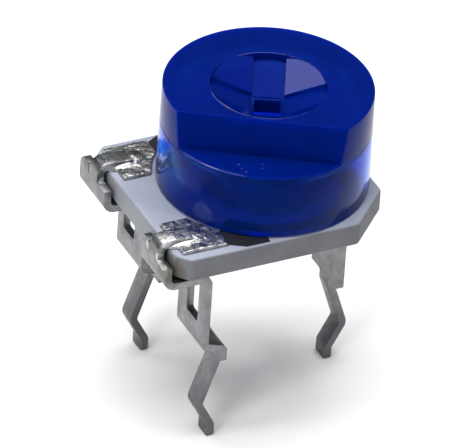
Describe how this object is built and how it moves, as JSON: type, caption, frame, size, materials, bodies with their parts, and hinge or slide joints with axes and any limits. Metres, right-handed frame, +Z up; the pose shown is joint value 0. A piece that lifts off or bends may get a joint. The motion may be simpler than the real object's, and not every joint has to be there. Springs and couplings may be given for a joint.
{
  "type": "trimmer potentiometer",
  "caption": "Small trimmer potentiometer: a translucent cross-slotted rotor cap turns on a ceramic plate carried by kinked board leads.",
  "frame": {"origin": "rotor axis, on the plane of the board that the terminals' lips stand on", "axes": "+Z up along the rotor axis, away from the board; +X from the end terminals towards the wiper terminal; +Y across, towards end terminal 3"},
  "size_m": [0.0083, 0.0068, 0.011],
  "materials": {
    "ceramic": "fired matt",
    "cermet": "fired print",
    "electrode": "fired silver print",
    "tinned_metal": "dull tin plate",
    "solder": "crinkled bright solder",
    "spring_metal": "bright rolled sheet",
    "rotor_plastic": "translucent moulded"
  },
  "bodies": {
    "base": {"base_plate": "ceramic", "resistive_track": "cermet", "electrode_1": "electrode", "electrode_3": "electrode", "end_terminal_1": "tinned_metal", "end_terminal_3": "tinned_metal", "solder_joint_1": "solder", "solder_joint_3": "solder", "wiper_terminal": "tinned_metal"},
    "rotor": {"wiper": "spring_metal", "rotor_cap": "rotor_plastic"}
  },
  "joints": [
    {"name": "rotor_turn", "type": "hinge", "parent": "base", "child": "rotor", "pos_m": [0, 0, 0.0045], "axis": [0, 0, 1], "range_deg": [-189, 71]}
  ]
}
